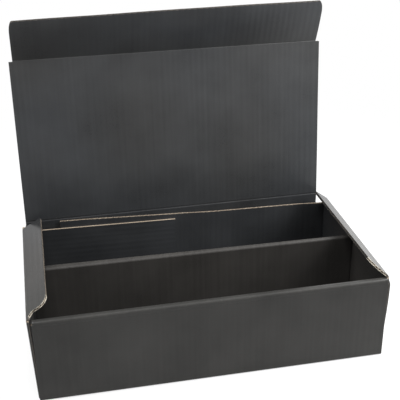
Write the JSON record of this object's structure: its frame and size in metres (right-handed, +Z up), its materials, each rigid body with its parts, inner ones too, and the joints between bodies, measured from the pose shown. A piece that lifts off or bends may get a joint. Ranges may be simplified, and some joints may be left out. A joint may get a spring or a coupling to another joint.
{
  "type": "bottle gift box",
  "caption": "Folded corrugated board box for lying bottles, with a doubled divider, a hinged lid with a tuck flap, and dust flaps on the end walls.",
  "frame": {"origin": "centre of the underside of the base", "axes": "+X along the length, left to right seen from the front; +Y from front to back; +Z up"},
  "size_m": [0.3639, 0.2175, 0.3322],
  "materials": {
    "board": "matt black printed liner on both faces, brown fluted core at the cut edges"
  },
  "bodies": {
    "carton": {"carton": "board"},
    "lid": {"lid": "board"},
    "tuck_flap": {"tuck_flap": "board"},
    "left_dust_flap": {"left_dust_flap": "board"},
    "right_dust_flap": {"right_dust_flap": "board"}
  },
  "joints": [
    {"name": "lid_hinge", "type": "hinge", "parent": "carton", "child": "lid", "pos_m": [0, 0.09775, 0.099], "axis": [-1, 0, 0], "range_deg": [-95.5, 80]},
    {"name": "tuck_fold", "type": "hinge", "parent": "lid", "child": "tuck_flap", "pos_m": [0, 0.11725, 0.28448], "axis": [-1, 0, 0], "range_deg": [-62, 28]},
    {"name": "left_dust_fold", "type": "hinge", "parent": "carton", "child": "left_dust_flap", "pos_m": [-0.18151, 0, 0.09494], "axis": [0, -1, 0], "range_deg": [-31.5, 26]},
    {"name": "right_dust_fold", "type": "hinge", "parent": "carton", "child": "right_dust_flap", "pos_m": [0.17989, 0, 0.09498], "axis": [0, 1, 0], "range_deg": [-37.5, 31]}
  ],
  "couplings": [
    {"joint": "left_dust_fold", "follows": "lid_hinge", "ratio": 0.32461},
    {"joint": "right_dust_fold", "follows": "lid_hinge", "ratio": 0.38743}
  ]
}
